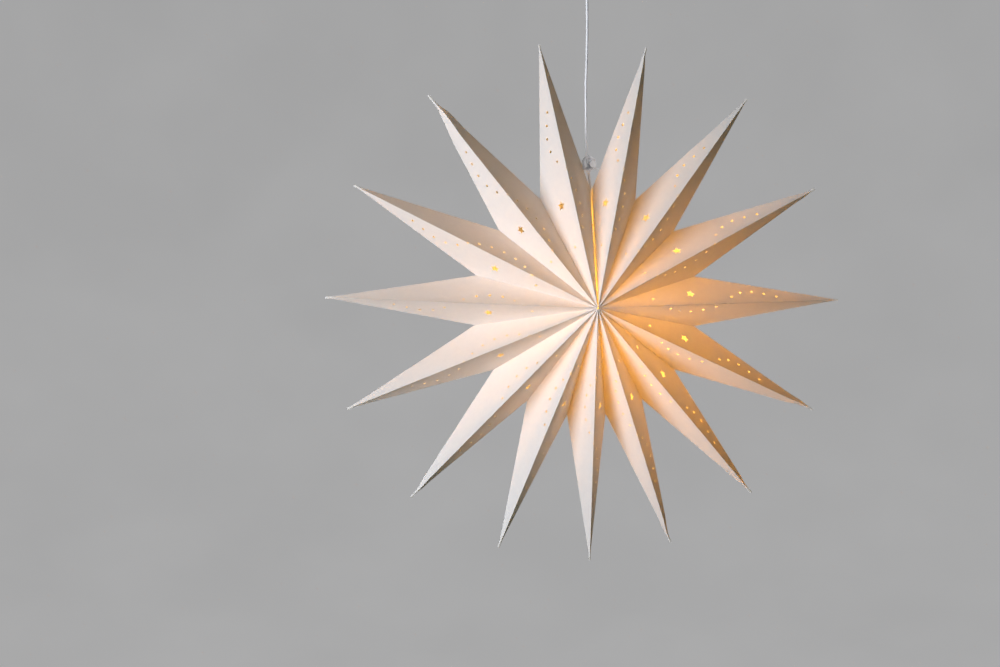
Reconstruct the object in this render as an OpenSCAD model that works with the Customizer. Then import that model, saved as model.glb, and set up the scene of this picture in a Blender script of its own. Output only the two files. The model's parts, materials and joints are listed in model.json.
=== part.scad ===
// Perforated paper star lantern that hangs by its lead from a small ceiling fitting.
// Sizes are in millimetres. The origin is the centre of the ceiling plate's top face,
// +Z points up and the front of the star faces -Y.

/* [Star] */
// Radius from the centre of the star to its tips
star_r = 300; // [270:5:330]
// Radius from the centre of the star to the valleys between its points
valley_r = 131; // [120:1:140]
// Height of the front or back apex above the middle plane
star_depth = 75.5; // [68:0.5:84]
// Radius of the opening left where all the points meet
apex_hole_r = 3; // [3:0.1:4]
// Drop from the ceiling to the centre of the star
star_drop = 425; // [425:5:440]

/* [Opened points] */
// Degrees by which the points fan away from the top under their own weight
sag_wide = 5.8; // [4:0.1:6.5]
// Degrees by which the lowest points bunch together
sag_low = 1.8; // [1:0.1:2.2]
// Degrees by which one side of the ring hangs lower than the other
sag_side = 0.8; // [0:0.1:1.2]
// Degrees by which the whole ring has turned on its hanger
ring_turn = 0.7; // [0:0.1:1.5]
// Degrees by which the closing seam leans from the middle of the top gap
seam_lean = 1.3; // [0.5:0.1:1.8]

/* [Paper] */
// Thickness of the folded sheet
paper_t = 0.4; // [0.35:0.05:0.5]
// Width of the glue flaps inside each valley
flap_w = 8; // [6:0.5:9]
// Width of the flattened end of each point
tip_w = 2.8; // [2.4:0.1:3.4]
// Thickness of the flattened end of each point
tip_t = 1.4; // [1.2:0.1:1.8]
// Length of the flattened end of each point
tip_l = 14; // [12:1:18]

/* [Perforation] */
// Diameter of the round holes
dot_d = 3.1; // [2.6:0.1:3.6]
// Width of a round hole that falls on a ridge, seen square to the fold
ridge_hole_w = 1.7; // [1.5:0.1:2]
// Distance between round holes along their line
dot_pitch = 15.2; // [14.6:0.1:15.6]
// Distance of the first hole from the apex, along the ridge
line_start = 74.8; // [72:0.2:78]
// Distance of the first hole from the ridge
line_side = 14; // [12:0.5:16]
// Angle at which the line of holes sets off across the ridge
line_heading = 64; // [60:1:68]
// Radius of the line's first bend, back across the ridge
first_bend_r = 54.2; // [52:0.2:57]
// Length of the line's first bend
first_bend_len = 110.6; // [108:0.2:113]
// Radius of the line's second bend, towards the tip
second_bend_r = 39.1; // [37:0.1:42]
// Length of the line's second bend
second_bend_len = 50; // [46:1:54]
// Outer radius of the star-shaped cut
star_cut_r = 5.9; // [5:0.1:7]
// Inner radius of the star-shaped cut
star_cut_inner = 2.7; // [2.2:0.1:3.2]
// Distance of the star-shaped cut from the apex, along the ridge
star_cut_along = 125; // [120:1:130]
// Distance of the star-shaped cut from the ridge
star_cut_side = 21; // [18:0.5:24]
// Degrees by which the star-shaped cut is turned
star_cut_turn = 5; // [0:1:20]

/* [Closing seam] */
// Gap between the two free ends of the ring
seam_gap = 2; // [1.6:0.1:2.6]
// How much lower the seam's valley lies than the others
seam_drop = 3; // [1:0.5:4]
// Radius of the notch in the seam that the lead passes through
lead_notch_r = 2.2; // [2:0.1:2.6]
// Share of the way from the valley to the apex at which each tie sits
tie_share = 0.28; // [0.2:0.01:0.4]
// Radius of the tie's cord
tie_r = 0.8; // [0.6:0.1:1]
// Radius of the tie's knots
knot_r = 1.8; // [1.5:0.1:2]

/* [Hanger bar and clip] */
// Height of the hanger bar above the seam's valley
bar_rise = 26; // [24:0.5:27]
// Radius of the hanger bar
bar_r = 0.9; // [0.8:0.1:1.1]
// Length of the hanger bar
bar_l = 31; // [30:1:36]
// Distance that the hanger bar sits to the left of the seam
bar_side = 1; // [0.5:0.1:1.5]
// Distance that the clip sits to the left of the seam
clip_side = 4.2; // [3.8:0.1:4.6]
// Outer radius of the clip's arch
arch_r = 8; // [7.8:0.1:8.4]
// Width of the clip's arch, measured from its rim inwards
arch_w = 1.8; // [1.6:0.1:2]
// Depth of the clip from front to back
clip_depth = 7.6; // [7.4:0.2:9]
// Height of the clip's arch above the bar
leg_h = 6; // [5.5:0.5:6.5]
// Half the width of the clip's base
clip_foot = 5.5; // [5:0.1:5.8]
// Thickness of the clip's base and back wall
clip_wall = 1.5; // [1.3:0.1:1.7]
// Radius of the cam that grips the lead
cam_r = 3.8; // [3.6:0.1:4]
// Distance between the cam's centre and its pin
cam_offset = 0.8; // [0.6:0.1:1]
// Radius of the cam's pin
cam_pin_r = 1.2; // [1:0.1:1.4]

/* [Lead] */
// Diameter of the lead
lead_d = 2.8; // [2.6:0.1:2.9]

/* [Lamp] */
// Distance of the lamp's axis to the right of the star's centre
lamp_side = 5; // [4.5:0.1:5.5]
// Height of the bulb's centre above the star's centre
lamp_lift = -8; // [-10:1:-4]
// Radius of the bulb
bulb_r = 22.5; // [20:0.5:24]
// Wall of the bulb's glass
bulb_wall = 0.8; // [0.6:0.1:1.2]
// Radius of the bulb's neck
neck_r = 8.4; // [8:0.1:9]
// Outer radius of the bulb's screw shell
shell_r = 6.7; // [6.5:0.1:6.8]
// Length of the bulb's screw shell
shell_l = 18; // [17:0.5:19]
// Outer radius of the lamp holder
holder_r = 13.5; // [13:0.1:15]
// Wall of the lamp holder
holder_wall = 1.3; // [1.1:0.1:1.5]
// Length of the lamp holder's barrel
barrel_l = 30; // [28:0.5:32]
// Height of the lamp holder's cap
cap_h = 18; // [17:0.5:20]
// Outer radius of the cord grip in the top of the cap
grip_r = 4; // [3.6:0.1:4.4]
// Length of the cord grip
grip_l = 12; // [11:0.5:14]
// Inner radius of the holder's socket
socket_r = 7.6; // [7.5:0.1:7.8]

/* [Ceiling fitting] */
// Radius of the ceiling plate
plate_r = 37; // [36:0.5:38]
// Thickness of the ceiling plate
plate_t = 5; // [5:0.5:6]
// Distance between the two screw holes in the ceiling plate
screw_spacing = 50; // [44:1:52]
// Radius of the screw holes
screw_hole_r = 2.25; // [2:0.05:2.6]
// Radius of the ceiling cup at its rim
cup_r = 42; // [41:0.5:44]
// Radius of the ceiling cup where its base starts to round in
cup_base_r = 37; // [36:0.5:39]
// Height of the ceiling cup
cup_h = 57; // [57:0.5:60]
// Wall of the ceiling cup
cup_wall = 1.6; // [1.4:0.1:1.8]
// Radius of the rounding round the base of the cup
cup_round = 12; // [8:1:14]
// Radius of the outlet that the lead hangs through
outlet_r = 8.5; // [8.5:0.5:11]
// Angle that the cup turns through to come off its lugs
bayonet_turn = 20; // [16:1:24]
// Radius of the hook's wire
hook_wire_r = 1.6; // [1.4:0.1:1.8]
// Radius of the hook's bend, to the middle of its wire
hook_bend_r = 6; // [5.8:0.1:6.4]
// Depth of the hook's bend below the ceiling, to the middle of its wire
hook_drop = 20; // [19:0.5:21]
// Radius of the ring's wire
ring_wire_r = 1.1; // [1:0.1:1.3]
// Radius of the ring, to the middle of its wire
ring_r = 6; // [5.8:0.1:6.4]
// Radius of the eye of the lead hanger, to the middle of its rim
eye_r = 5; // [4.8:0.1:5.4]
// Radius of the rim of the eye
eye_rim_r = 1.3; // [1.2:0.1:1.5]
// Width of the lead hanger's block
hanger_w = 20; // [19:0.5:22]
// Depth of the lead hanger's block
hanger_d = 10; // [9:0.5:11]
// Height of the lead hanger's block
hanger_h = 12; // [11:0.5:12.5]
// Depth of the terminal block
terminal_d = 8; // [7:0.5:9]

/* [Fits] */
// Clearance of a part that turns or slides in another
running_fit = 0.1; // [0.05:0.01:0.15]
// Clearance of a part that passes loosely through another
loose_fit = 0.3; // [0.2:0.05:0.4]

/* [Hidden] */
$fn = 48;
points = 15;
dots = 13;
step = 360 / points;
far = 500;

// Degrees by which each point, from the first right of the seam, leans from its even place.
point_lean = [-0.5, 0, 0, 0, 0.5, 0.5, 0.5, -1, -0.5, 0.5, 1, 0.5, -0.5, -1, 0.5];

function unit(v) = v / norm(v);
function degrees(radians) = radians * 180 / PI;
function ray(angle) = [sin(angle), 0, cos(angle)];

// Angles run clockwise from the top, seen from the front.
function sagged(angle) =
    angle + sag_wide * sin(angle) - sag_low * sin(2 * angle) + sag_side * cos(angle) + ring_turn;
function tip_angle(k) =
    k < 1 ? tip_angle(k + points) - 360 :
    k > points ? tip_angle(k - points) + 360 :
    sagged(step * (k - 0.5)) + point_lean[k - 1];
function valley_angle(k) =
    (tip_angle(k - 1) + tip_angle(k)) / 2 + (k == 1 || k == points + 1 ? seam_lean : 0);
function is_seam(k) = k == 1 || k == points + 1;
function rim_r(k) = valley_r - (is_seam(k) ? seam_drop : 0);
seam_angle = valley_angle(1);
seam_out = ray(seam_angle);
seam_right = [seam_out[2], 0, -seam_out[0]];

// The line of holes: two bends and a straight run. It holds for every face of every point.
function bend(from, heading, r, way, s) =
    let (after = heading + way * degrees(s / r))
    from + way * r * [sin(after) - sin(heading), cos(heading) - cos(after)];
line_from = [line_start, -line_side];
mid_heading = line_heading - degrees(first_bend_len / first_bend_r);
mid_from = bend(line_from, line_heading, first_bend_r, -1, first_bend_len);
end_heading = mid_heading + degrees(second_bend_len / second_bend_r);
end_from = bend(mid_from, mid_heading, second_bend_r, 1, second_bend_len);
function line_place(s) =
    s <= first_bend_len ? bend(line_from, line_heading, first_bend_r, -1, s) :
    s <= first_bend_len + second_bend_len ?
        bend(mid_from, mid_heading, second_bend_r, 1, s - first_bend_len) :
    end_from + (s - first_bend_len - second_bend_len) * [cos(end_heading), sin(end_heading)];

// Seam: the bar, the clip and the ties. The bar runs just in front of the lead.
seam_r = valley_r - seam_drop;
seam_rim = norm([seam_r, star_depth]);
seam_face = seam_gap / 2;
bar_z = seam_r + bar_rise;
bar_y = -bar_r - running_fit / 2;
tie_inset = flap_w / 2;
tie_hole_r = tie_r + loose_fit;
tie_at = [
    seam_r * (1 - tie_share) - tie_inset * star_depth / seam_rim,
    -star_depth * tie_share + tie_inset * seam_r / seam_rim
];
clip_base = clip_wall + bar_r;
clip_at = [0, 0, -star_drop] + bar_z * seam_out - clip_side * seam_right;
cam_back = clip_depth / 2 - clip_wall;

// Route of the lead from the hanger to the seam, and from there to the lamp holder.
lead_top = -39;
lead_y = lead_d / 2 + running_fit / 2;
lead_points = [
    [0, 0, lead_top], [0, 0, -50], [0.1, 0, -62], [0.6, 0, -80], [0.9, 0, -100], [0.9, 0, -125],
    [0.4, 0, -150], [-0.4, 0, -175], [-0.2, 0, -200], [0.1, 0.6, -228], [0.6, lead_y, -246],
    [1.4, lead_y, -257], [3.1, lead_y, -273], [4.4, 0.6, -285], [6.1, 0, -297], [6.3, 0, -305],
    [5.7, 0, -313]
];
lamp_lead_points = [
    [5.7, 0, -313.4], [5.4, 0, -320], [5.2, 0, -328], [5, 0, -336], [5, 0, -345], [5, 0, -356],
    [5, 0, -364]
];
lead_sides = 8;
rings_per_span = 4;

// The lead's line through the clip, in the clip's own frame, and the cam that bears on it.
function in_clip(p) = [(p - clip_at) * seam_right, (p - clip_at) * seam_out];
lead_high = in_clip(lead_points[11]);
lead_low = in_clip(lead_points[12]);
lead_way = unit(lead_low - lead_high);
cam_z = leg_h - 0.6;
lead_x = lead_high[0] + lead_way[0] * (cam_z - lead_high[1]) / lead_way[1];
cam_at = [lead_x + (lead_d / 2 + cam_r + running_fit) / abs(lead_way[1]) + cam_offset, cam_z];
lead_middle = (lead_points[11] + lead_points[12]) / 2;

// Lamp: heights above the star's centre.
shell_z = lamp_lift + bulb_r + 2;
shell_top = shell_z + shell_l;
shell_bore_r = shell_r - 1.2;
insulator_h = 3;
tip_h = 1.5;
contact_z = shell_top + insulator_h + tip_h;
contact_t = 0.5;
core_floor = contact_z + 2 + contact_t;
barrel_z = core_floor + 3 - barrel_l;
cap_z = barrel_z + barrel_l;
grip_z = cap_z + cap_h - 6;

// Ceiling fitting: depths below the ceiling.
ring_z = -hook_drop + hook_wire_r + ring_wire_r + running_fit - ring_r;
ring_foot = ring_z - ring_r;
eye_z = ring_foot + ring_wire_r + eye_rim_r + running_fit - eye_r;
hanger_top = eye_z - eye_r - eye_rim_r + 1;
lug_t = 2;
lug_angle = 8;
lug_reach = cup_r - 0.8;
rim_gap = 0.5;
slot_clear = 1.5;
wire_side = hanger_w / 2 - 2;
wire_r = 0.9;
wire_depth = 5;
screw_z = hanger_top - 8;
screw_r = 1.5;

function point_name(k) = str("point_", k < 10 ? "0" : "", k);

module placed(x, y, z, at) {
    multmatrix([
        [x[0], y[0], z[0], at[0]],
        [x[1], y[1], z[1], at[1]],
        [x[2], y[2], z[2], at[2]],
        [0, 0, 0, 1]
    ]) children();
}

module at_star() {
    translate([0, 0, -star_drop]) children();
}

// The seam's own frame: +Z runs out along the seam, +X is square to it.
module at_seam() {
    at_star() rotate([0, seam_angle, 0]) children();
}

module at_lamp() {
    translate([lamp_side, 0, -star_drop]) children();
}

// Folded and perforated paper points.

module star_cut() {
    corners = 10;
    polygon([for (i = [0:corners - 1])
        let (r = i % 2 == 0 ? star_cut_r : star_cut_inner, at = i * 360 / corners)
        r * [cos(at), sin(at)]
    ]);
}

// A hole of the line that falls this close to the ridge is centred on it.
function on_ridge(at) = abs(at[1]) < 0.75 * dot_d;

// The holes of one face, in the sheet's own plane. way is 1 for the half that lies clockwise
// of the ridge as its viewer sees it, and -1 for the other half.
module perforation(way) {
    for (i = [0:dots - 1]) {
        at = line_place(i * dot_pitch);
        if (!on_ridge(at) && way * at[1] > 0) translate([at[0], way * at[1]]) circle(d = dot_d);
    }
    if (way < 0) mirror([0, 1]) translate([star_cut_along, -star_cut_side]) rotate(star_cut_turn) star_cut();
}

// The frame of one quarter of a point, with +Z square to the sheet. side is -1 or 1 across the
// ridge, face is -1 at the front and 1 at the back.
module at_facet(k, side, face) {
    valley = side < 0 ? k : k + 1;
    apex = [0, face * star_depth, 0];
    tip = star_r * ray(tip_angle(k));
    rim = rim_r(valley) * ray(valley_angle(valley)) - apex;
    along = unit(tip - apex);
    across = unit(rim - (rim * along) * along);
    placed(along, across, cross(along, across), apex) children();
}

// The frame of a valley plane: +X runs out along the valley and +Y to the back.
module at_valley(k, side) {
    outward = ray(valley_angle(side < 0 ? k : k + 1));
    placed(outward, [0, 1, 0], cross(outward, [0, 1, 0]), [0, 0, 0]) children();
}

// Everything on a point's side of one of its planes, drawn in by inset. way is the side along +Z.
module half_space(way, inset) {
    translate([-far, -far, way > 0 ? inset : -far - inset]) cube([2 * far, 2 * far, far]);
}

// The closed form of a point, drawn in by inset on every side.
module wedge(k, inset) {
    intersection() {
        for_facet(k, -1, -1, inset);
        for_facet(k, 1, -1, inset);
        for_facet(k, -1, 1, inset);
        for_facet(k, 1, 1, inset);
        for_valley(k, -1, inset);
        for_valley(k, 1, inset);
    }
}

module for_facet(k, side, face, inset) {
    at_facet(k, side, face) half_space(-side * face, inset);
}

module for_valley(k, side, inset) {
    at_valley(k, side) half_space(side, inset + (is_seam(side < 0 ? k : k + 1) ? seam_gap / 2 : 0));
}

// What is cut from the sheet that closes a valley plane: all but the glue flaps, and the tie's holes.
module valley_cut(k, side) {
    valley = side < 0 ? k : k + 1;
    reach = 1 + (is_seam(valley) ? seam_gap : 0);
    at_valley(k, side) linear_extrude(2 * reach, center = true) {
        chevron(rim_r(valley), -flap_w);
        if (is_seam(valley)) for (face = [-1, 1])
            translate([tie_at[0], face * tie_at[1]]) circle(r = tie_hole_r);
    }
}

// The triangle between the two apexes and a valley, with its edges moved out by grow.
module chevron(r, grow) {
    edge = norm([r, star_depth]);
    depth = star_depth + grow * edge / r;
    reach = r + grow * edge / star_depth;
    polygon([[-apex_hole_r, -depth], [0, -depth], [reach, 0], [0, depth], [-apex_hole_r, depth]]);
}

// The holes that fall on a ridge, cut square to the fold and narrowed by the slope of its sides.
module ridge_holes(k, face) {
    outward = ray(tip_angle(k));
    apex = [0, face * star_depth, 0];
    along = unit(star_r * outward - apex);
    tangent = cross(outward, [0, 1, 0]);
    placed(along, tangent, cross(along, tangent), apex) linear_extrude(8, center = true)
        for (i = [0:dots - 1]) {
            at = line_place(i * dot_pitch);
            if (on_ridge(at)) slot(at[0], (dot_d - ridge_hole_w) / 2, ridge_hole_w / 2);
        }
}

module slot(at, reach, r) {
    for (end = [-1, 1]) translate([at + end * reach, 0]) circle(r = r);
    translate([at - reach, -r]) square([2 * reach, 2 * r]);
}

module tip_tab(k) {
    rotate([0, tip_angle(k), 0])
        translate([-tip_w / 2, -tip_t / 2, star_r - tip_l + 0.5]) cube([tip_w, tip_t, tip_l]);
}

module seam_cuts() {
    rotate([0, seam_angle, 0]) translate([-bar_side, bar_y, bar_z - loose_fit]) rotate([0, 90, 0])
        cylinder(r = bar_r + loose_fit, h = 1.2 * bar_l, center = true);
    from = lead_points[14] + [0, 0, star_drop];
    to = lamp_lead_points[1] + [0, 0, star_drop];
    translate(to) rotate([0, atan2(from[0] - to[0], from[2] - to[2]), 0])
        translate([0, 0, -2]) cylinder(r = lead_notch_r, h = 40);
}

module paper_point(k) {
    color("white") at_star() difference() {
        union() {
            wedge(k, 0);
            tip_tab(k);
        }
        wedge(k, paper_t);
        for (side = [-1, 1]) valley_cut(k, side);
        for (face = [-1, 1]) {
            for (side = [-1, 1]) at_facet(k, side, face)
                translate([0, 0, -1]) linear_extrude(2) perforation(-face * side);
            ridge_holes(k, face);
        }
        rotate([90, 0, 0]) cylinder(r = apex_hole_r, h = far, center = true);
        if (k == 1 || k == points) seam_cuts();
    }
}

// Seam, bar and clip.

module tie(face) {
    knot_at = seam_face + paper_t + sqrt(knot_r * knot_r - tie_hole_r * tie_hole_r);
    color("ivory") at_seam() translate([0, -face * tie_at[1], tie_at[0]]) rotate([0, 90, 0]) {
        cylinder(r = tie_r, h = 2 * knot_at, center = true);
        for (end = [-1, 1]) translate([0, 0, end * knot_at]) sphere(r = knot_r);
    }
}

module hanger_bar() {
    color("gainsboro") at_seam() translate([-bar_side, bar_y, bar_z]) rotate([0, 90, 0])
        cylinder(r = bar_r, h = bar_l, center = true);
}

module at_clip() {
    at_seam() translate([-clip_side, 0, bar_z]) children();
}

module at_cam() {
    at_clip() translate([cam_at[0], 0, cam_at[1]]) rotate([-90, 0, 0]) children();
}

// A rod along the lead's line through the clip, from below to above its middle.
module along_lead(r, from, to) {
    lean = atan2(lead_points[11][0] - lead_points[12][0], lead_points[11][2] - lead_points[12][2]);
    translate(lead_middle) rotate([0, lean, 0]) translate([0, 0, from]) cylinder(r = r, h = to - from);
}

module cord_clip() {
    color("whitesmoke") difference() {
        union() {
            at_clip() rotate([90, 0, 0]) translate([0, 0, -clip_depth / 2]) {
                linear_extrude(clip_depth) difference() {
                    clip_outline(0);
                    clip_outline(arch_w);
                }
                linear_extrude(clip_wall) intersection() {
                    clip_outline(0);
                    translate([cam_at[0] - cam_offset - cam_r, -clip_base]) square(2 * (leg_h + arch_r));
                }
            }
            along_lead(lead_d / 2 + 1.1, 4, 8.5);
            along_lead(lead_d / 2 + 1.1, -10, -6.5);
        }
        along_lead(lead_d / 2 + running_fit, -20, 20);
        at_clip() translate([0, bar_y, running_fit]) rotate([0, 90, 0])
            cylinder(r = bar_r + running_fit, h = 3 * arch_r, center = true);
        at_cam() {
            translate([0, 0, -clip_depth])
                cylinder(r = cam_offset + cam_r + running_fit, h = clip_depth + cam_back);
            cylinder(r = cam_pin_r + running_fit / 2, h = clip_depth);
        }
    }
}

// An arch that narrows to a flat base, all drawn in by inset.
module clip_outline(inset) {
    translate([0, leg_h]) circle(r = arch_r - inset);
    polygon([
        [inset - arch_r, leg_h], [arch_r - inset, leg_h],
        [clip_foot - inset, inset - clip_base], [inset - clip_foot, inset - clip_base]
    ]);
}

module grip_cam() {
    color("white") at_cam() difference() {
        union() {
            translate([-cam_offset, 0, -clip_depth / 2])
                cylinder(r = cam_r, h = clip_depth / 2 + cam_back - running_fit);
            cylinder(r = cam_pin_r, h = clip_depth / 2);
        }
        translate([-cam_offset - 2.4, -0.4, -clip_depth / 2 - 1]) cube([4.8, 0.8, 2]);
    }
}

// Lead.

// A smooth curve through the points: the place at share u of the span that starts at point i.
function span(p, i, u) =
    let (
        n = len(p) - 1,
        a = p[max(i - 1, 0)], b = p[i], c = p[min(i + 1, n)], d = p[min(i + 2, n)]
    )
    ((2 * b) + (c - a) * u + (2 * a - 5 * b + 4 * c - d) * u * u + (3 * b - a - 3 * c + d) * u * u * u) / 2;
function curve(p) = concat(
    [for (i = [0:len(p) - 2], j = [0:rings_per_span - 1]) span(p, i, j / rings_per_span)],
    [p[len(p) - 1]]
);

// A tube that runs down the curve, with level rings of lead_sides corners.
module tube(p, r) {
    path = curve(p);
    n = len(path);
    corners = [for (at = path, j = [0:lead_sides - 1])
        let (turn = j * 360 / lead_sides)
        at + r * [cos(turn), sin(turn), 0]
    ];
    polyhedron(corners, concat(
        [[for (j = [0:lead_sides - 1]) j]],
        [for (i = [0:n - 2], j = [0:lead_sides - 1])
            let (next = (j + 1) % lead_sides, a = i * lead_sides, b = a + lead_sides)
            [a + j, b + j, b + next, a + next]],
        [[for (j = [lead_sides - 1:-1:0]) (n - 1) * lead_sides + j]]
    ));
}

module pendant_lead() {
    color("whitesmoke") tube(lead_points, lead_d / 2);
}

module lamp_lead() {
    color("whitesmoke") tube(lamp_lead_points, lead_d / 2);
}

// Lamp holder and bulb.

module cord_grip() {
    color("white") at_lamp() translate([0, 0, grip_z]) difference() {
        union() {
            cylinder(r = grip_r, h = grip_l);
            translate([0, 0, 6]) cylinder(r = grip_r + 1.2, h = 3);
        }
        translate([0, 0, -1]) cylinder(r = lead_d / 2 + running_fit, h = grip_l + 2);
    }
}

module holder_cap() {
    shoulder = 6;
    color("white") at_lamp() translate([0, 0, cap_z]) difference() {
        rotate_extrude() {
            square([holder_r, shoulder]);
            intersection() {
                translate([0, shoulder]) scale_round(holder_r, cap_h - shoulder);
                square([holder_r, cap_h]);
            }
        }
        translate([0, 0, -1]) cylinder(r = holder_r - holder_wall, h = shoulder + 1);
        translate([0, 0, shoulder - 0.01])
            cylinder(r1 = holder_r - holder_wall, r2 = grip_r + 1, h = cap_h - shoulder - 3);
        cylinder(r = grip_r + running_fit, h = cap_h + 1);
    }
}

// A quarter of a rounded shoulder: a flat top of the grip's width and a round edge.
module scale_round(r, h) {
    translate([0, 0]) square([r - h, h]);
    translate([r - h, 0]) circle(r = h);
}

module holder_barrel() {
    ribs = 24;
    color("white") at_lamp() translate([0, 0, barrel_z]) difference() {
        union() {
            cylinder(r = holder_r, h = barrel_l);
            for (i = [0:ribs - 1]) rotate(i * 360 / ribs)
                translate([holder_r, 0, barrel_l / 2]) cylinder(r = 0.5, h = barrel_l / 2 - 2);
        }
        translate([0, 0, -1]) cylinder(r = holder_r - holder_wall, h = barrel_l + 2);
    }
}

module holder_core() {
    color("ivory") at_lamp() difference() {
        union() {
            translate([0, 0, core_floor - 22]) cylinder(r = socket_r + 1.3, h = 22);
            translate([0, 0, core_floor - 5]) cylinder(r = holder_r - holder_wall, h = 8);
        }
        translate([0, 0, core_floor - 23]) cylinder(r = socket_r, h = 23);
        for (side = [-1, 1]) translate([5 * side, 0, core_floor - 1]) cylinder(r = 1.2, h = 5);
    }
}

module centre_contact() {
    color("goldenrod") at_lamp() {
        translate([-1.5, -5, core_floor - contact_t]) cube([3, 10, contact_t]);
        translate([-1.5, 1, contact_z + running_fit]) cube([3, contact_t, 2]);
        translate([-1.5, -2, contact_z + running_fit]) cube([3, 3, contact_t]);
    }
}

module side_contact() {
    color("goldenrod") at_lamp() {
        translate([shell_r + running_fit, -2, core_floor - 14]) cube([contact_t, 4, 14]);
        translate([shell_r + running_fit - 2, -2, core_floor - contact_t]) cube([2.2, 4, contact_t]);
    }
}

module glass_profile(inset) {
    r = bulb_r - inset;
    neck = neck_r - inset;
    intersection() {
        circle(r = r);
        translate([0, -r]) square([r, 2 * r]);
    }
    square([neck, shell_z - lamp_lift - inset]);
    square([shell_bore_r - inset, shell_z - lamp_lift + 4 + inset]);
}

module bulb_glass() {
    color("lightyellow", 0.6) at_lamp() translate([0, 0, lamp_lift]) rotate_extrude() difference() {
        glass_profile(0);
        glass_profile(bulb_wall);
    }
}

module bulb_stem() {
    color("lightgrey") at_lamp() translate([0, 0, lamp_lift]) rotate_extrude() {
        square([1.5, shell_z - lamp_lift + 3]);
        translate([0, shell_z - lamp_lift - 4]) square([neck_r - bulb_wall, 1.5]);
    }
}

module filament() {
    legs = 4;
    color("orange") at_lamp() translate([0, 0, lamp_lift]) for (i = [0:legs - 1]) rotate(i * 360 / legs) {
        translate([7, 0, -9]) cylinder(r = 0.7, h = 18);
        translate([1.4, 0, 5]) rotate([0, 90, 0]) cylinder(r = 0.4, h = 5.8);
    }
}

module screw_shell() {
    turns = 5;
    color("silver") at_lamp() translate([0, 0, shell_z]) difference() {
        rotate_extrude() {
            square([shell_r - 0.5, shell_l]);
            for (i = [0:turns - 1]) translate([shell_r - 0.9, 3 + i * 2.82]) circle(r = 0.9);
        }
        translate([0, 0, -1]) cylinder(r = shell_bore_r, h = shell_l);
        cylinder(r = 3, h = shell_l + 1);
    }
}

module base_insulator() {
    color("black") at_lamp() translate([0, 0, shell_top]) cylinder(r1 = 5, r2 = 2.6, h = insulator_h);
}

module tip_contact() {
    color("silver") at_lamp() translate([0, 0, shell_top + insulator_h])
        cylinder(r1 = 2.6, r2 = 1.8, h = tip_h);
}

// Ceiling fitting.

module ceiling_plate() {
    color("white") difference() {
        union() {
            translate([0, 0, -plate_t]) cylinder(r = plate_r, h = plate_t);
            translate([hook_bend_r, 0, -plate_t - 3]) cylinder(r = 4.5, h = 4);
            for (i = [0:2]) rotate(i * 120 - lug_angle / 2)
                translate([0, 0, -plate_t]) rotate_extrude(angle = lug_angle)
                    translate([plate_r - 2, 0]) square([lug_reach - plate_r + 2, lug_t]);
        }
        for (side = [-1, 1]) translate([side * screw_spacing / 2, 0, -plate_t - 1])
            cylinder(r = screw_hole_r, h = plate_t + 2);
        translate([hook_bend_r, 0, -plate_t - 4]) cylinder(r = hook_wire_r, h = plate_t + 2);
    }
}

module ceiling_hook() {
    bend_z = hook_bend_r - hook_drop;
    color("silver") {
        translate([hook_bend_r, 0, bend_z]) cylinder(r = hook_wire_r, h = -2 - bend_z);
        translate([0, 0, bend_z]) rotate([90, 0, 0]) rotate_extrude(angle = -205)
            translate([hook_bend_r, 0]) circle(r = hook_wire_r);
        translate([0, 0, bend_z]) rotate([0, 25, 0]) translate([-hook_bend_r, 0, 0]) sphere(r = hook_wire_r);
    }
}

module hook_ring() {
    color("silver") translate([0, 0, ring_z]) rotate([0, 90, 0]) rotate_extrude()
        translate([ring_r, 0]) circle(r = ring_wire_r);
}

module lead_hanger() {
    foot = hanger_top - hanger_h;
    color("white") difference() {
        union() {
            translate([0, 0, eye_z]) rotate([90, 0, 0]) rotate_extrude()
                translate([eye_r, 0]) circle(r = eye_rim_r);
            translate([-hanger_w / 2, -hanger_d / 2, foot]) cube([hanger_w, hanger_d, hanger_h]);
        }
        translate([0, 0, foot - 1])
            cylinder(r = lead_d / 2 + running_fit, h = lead_top - foot + 1.5);
        wire_holes(0);
    }
}

// The holes in the top of a block that the two inner wires go down, y behind the lead.
module wire_holes(y) {
    for (side = [-1, 1]) translate([side * wire_side, y, hanger_top - wire_depth])
        cylinder(r = wire_r + running_fit, h = wire_depth + 1);
}

module terminal_block() {
    color("whitesmoke") difference() {
        translate([-hanger_w / 2, hanger_d / 2, hanger_top - hanger_h])
            cube([hanger_w, terminal_d, hanger_h]);
        wire_holes(hanger_d / 2 + terminal_d / 2);
        for (side = [-1, 1]) translate([side * wire_side, hanger_d / 2 + terminal_d + 1, screw_z])
            rotate([90, 0, 0]) cylinder(r = screw_r + running_fit, h = 4);
    }
}

module terminal_screws() {
    slot_w = 0.5;
    color("silver") for (side = [-1, 1])
        translate([side * wire_side, hanger_d / 2 + terminal_d - 0.4, screw_z])
            rotate([90, 0, 0]) difference() {
                cylinder(r = screw_r, h = 2.6);
                translate([-2, -slot_w / 2, -1]) cube([4, slot_w, 1.6]);
            }
}

module inner_wires() {
    loop = hanger_d / 4 + terminal_d / 4;
    color("saddlebrown") for (side = [-1, 1]) translate([side * wire_side, loop, hanger_top]) {
        rotate([90, 0, 90]) rotate_extrude(angle = 180) translate([loop, 0]) circle(r = wire_r);
        for (end = [-1, 1]) translate([0, end * loop, -wire_depth])
            cylinder(r = wire_r, h = wire_depth);
    }
}

// Half section of the cup, drawn in by inset.
module cup_section(inset) {
    r = cup_round - inset;
    translate([cup_base_r - cup_round, cup_round - cup_h]) circle(r = r);
    polygon([
        [0, inset - cup_h], [cup_base_r - cup_round, inset - cup_h], [cup_base_r - inset, cup_round - cup_h],
        [cup_r - inset, -rim_gap], [0, -rim_gap]
    ]);
}

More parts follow.
